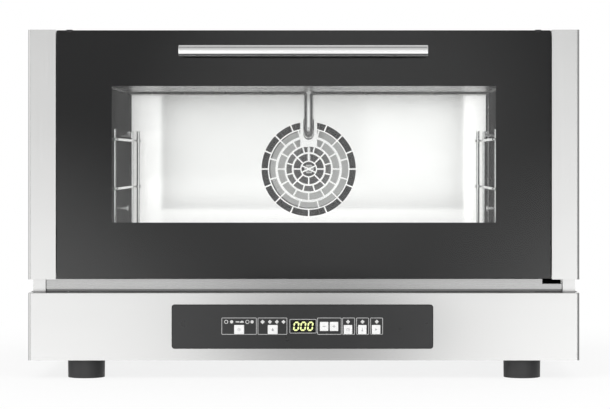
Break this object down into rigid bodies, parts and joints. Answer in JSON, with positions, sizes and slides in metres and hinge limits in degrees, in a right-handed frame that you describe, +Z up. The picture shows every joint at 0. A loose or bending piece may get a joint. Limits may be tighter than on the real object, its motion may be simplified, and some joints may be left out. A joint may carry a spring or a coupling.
{
  "type": "convection oven",
  "caption": "Countertop convection oven with a drop-down glass door, a fan behind a ring grille, side racks for trays and a push-button control panel below the door.",
  "frame": {"origin": "on the floor, under the middle of the bounding box of the whole oven with its door closed", "axes": "+X to the right of someone who faces the door, +Y from the door to the back, +Z up"},
  "size_m": [0.784, 0.754, 0.496],
  "materials": {
    "casing_steel": "brushed",
    "chassis_steel": "galvanised",
    "cavity_steel": "satin",
    "baffle_steel": "polished",
    "wire_steel": "bright",
    "handle_steel": "satin",
    "fastener_steel": "bright",
    "tube_steel": "polished",
    "spring_steel": "oiled",
    "heater_sheath": "heat-stained",
    "impeller_steel": "satin",
    "motor_paint": "semi-gloss black",
    "insulation_wool": "mineral wool",
    "foot_rubber": "matte",
    "seal_rubber": "satin",
    "overlay_film": "satin",
    "button_plastic": "satin",
    "display_tint": "smoked",
    "display_plastic": "matte",
    "circuit_board": "satin",
    "terminal_plastic": "matte",
    "gland_plastic": "matte",
    "cooling_fan_plastic": "matte",
    "valve_brass": "turned",
    "lamp_steel": "satin",
    "lamp_glass": "clear",
    "outer_glass": "clear",
    "inner_glass": "clear",
    "window_print": "printed layer",
    "door_paint": "matte black",
    "clip_plastic": "matte"
  },
  "bodies": {
    "body": {"baffle_screws": "fastener_steel", "base_pan": "chassis_steel", "cable_gland": "gland_plastic", "casing_screws": "fastener_steel", "cavity_liner": "cavity_steel", "cavity_seal": "seal_rubber", "control_board": "circuit_board", "control_fascia": "casing_steel", "control_overlay": "overlay_film", "cooling_fan_frame": "cooling_fan_plastic", "display_lens": "display_tint", "display_module": "display_plastic", "drip_gutter": "casing_steel", "fan_baffle": "baffle_steel", "fan_motor": "motor_paint", "feet": "foot_rubber", "front_frame": "casing_steel", "heating_element": "heater_sheath", "hinge_brackets": "chassis_steel", "hinge_pins": "fastener_steel", "hinge_springs": "spring_steel", "inner_chassis": "chassis_steel", "insulation": "insulation_wool", "lamp_bulb": "lamp_glass", "lamp_housing": "lamp_steel", "lamp_lens": "lamp_glass", "liner_studs": "wire_steel", "motor_mount": "chassis_steel", "power_board": "circuit_board", "rear_hood": "casing_steel", "rear_panel": "casing_steel", "side_panel_left": "casing_steel", "side_panel_right": "casing_steel", "side_rack_left": "wire_steel", "side_rack_right": "wire_steel", "temperature_probe": "tube_steel", "terminal_block": "terminal_plastic", "top_panel": "casing_steel", "vent_pipe": "tube_steel", "water_tube": "tube_steel", "water_valve": "valve_brass"},
    "door": {"door_outer_glass": "outer_glass", "door_window_border": "window_print", "door_frame": "door_paint", "door_inner_glass": "inner_glass", "handle_bar": "handle_steel", "handle_posts": "handle_steel", "door_top_clips": "clip_plastic", "hinge_arms": "chassis_steel"},
    "fan": {"motor_shaft": "fastener_steel", "fan_impeller": "impeller_steel", "impeller_nut": "fastener_steel"},
    "cooling_fan": {"cooling_fan_rotor": "cooling_fan_plastic"},
    "mode_button_body": {"mode_button": "button_plastic"},
    "humidity_button_body": {"humidity_button": "button_plastic"},
    "minus_button_body": {"minus_button": "button_plastic"},
    "plus_button_body": {"plus_button": "button_plastic"},
    "time_button_body": {"time_button": "button_plastic"},
    "temperature_button_body": {"temperature_button": "button_plastic"},
    "start_button_body": {"start_button": "button_plastic"}
  },
  "joints": [
    {"name": "door_hinge", "type": "hinge", "parent": "body", "child": "door", "pos_m": [0, -0.309, 0.15], "axis": [1, 0, 0], "range_deg": [0, 90], "stiffness_Nm_per_rad": 6, "springref_deg": -11.46, "deforming": ["hinge_springs"]},
    {"name": "fan_spin", "type": "hinge", "parent": "body", "child": "fan", "pos_m": [0, 0.263, 0.296], "axis": [0, 1, 0], "continuous": true},
    {"name": "cooling_fan_spin", "type": "hinge", "parent": "body", "child": "cooling_fan", "pos_m": [-0.26, 0.3505, 0.083], "axis": [0, 1, 0], "continuous": true},
    {"name": "mode_button_press", "type": "slide", "parent": "body", "child": "mode_button_body", "axis": [0, 1, 0], "range_m": [0, 0.0012], "stiffness_N_per_m": 300},
    {"name": "humidity_button_press", "type": "slide", "parent": "body", "child": "humidity_button_body", "axis": [0, 1, 0], "range_m": [0, 0.0012], "stiffness_N_per_m": 300},
    {"name": "minus_button_press", "type": "slide", "parent": "body", "child": "minus_button_body", "axis": [0, 1, 0], "range_m": [0, 0.0012], "stiffness_N_per_m": 300},
    {"name": "plus_button_press", "type": "slide", "parent": "body", "child": "plus_button_body", "axis": [0, 1, 0], "range_m": [0, 0.0012], "stiffness_N_per_m": 300},
    {"name": "time_button_press", "type": "slide", "parent": "body", "child": "time_button_body", "axis": [0, 1, 0], "range_m": [0, 0.0012], "stiffness_N_per_m": 300},
    {"name": "temperature_button_press", "type": "slide", "parent": "body", "child": "temperature_button_body", "axis": [0, 1, 0], "range_m": [0, 0.0012], "stiffness_N_per_m": 300},
    {"name": "start_button_press", "type": "slide", "parent": "body", "child": "start_button_body", "axis": [0, 1, 0], "range_m": [0, 0.0012], "stiffness_N_per_m": 300}
  ]
}
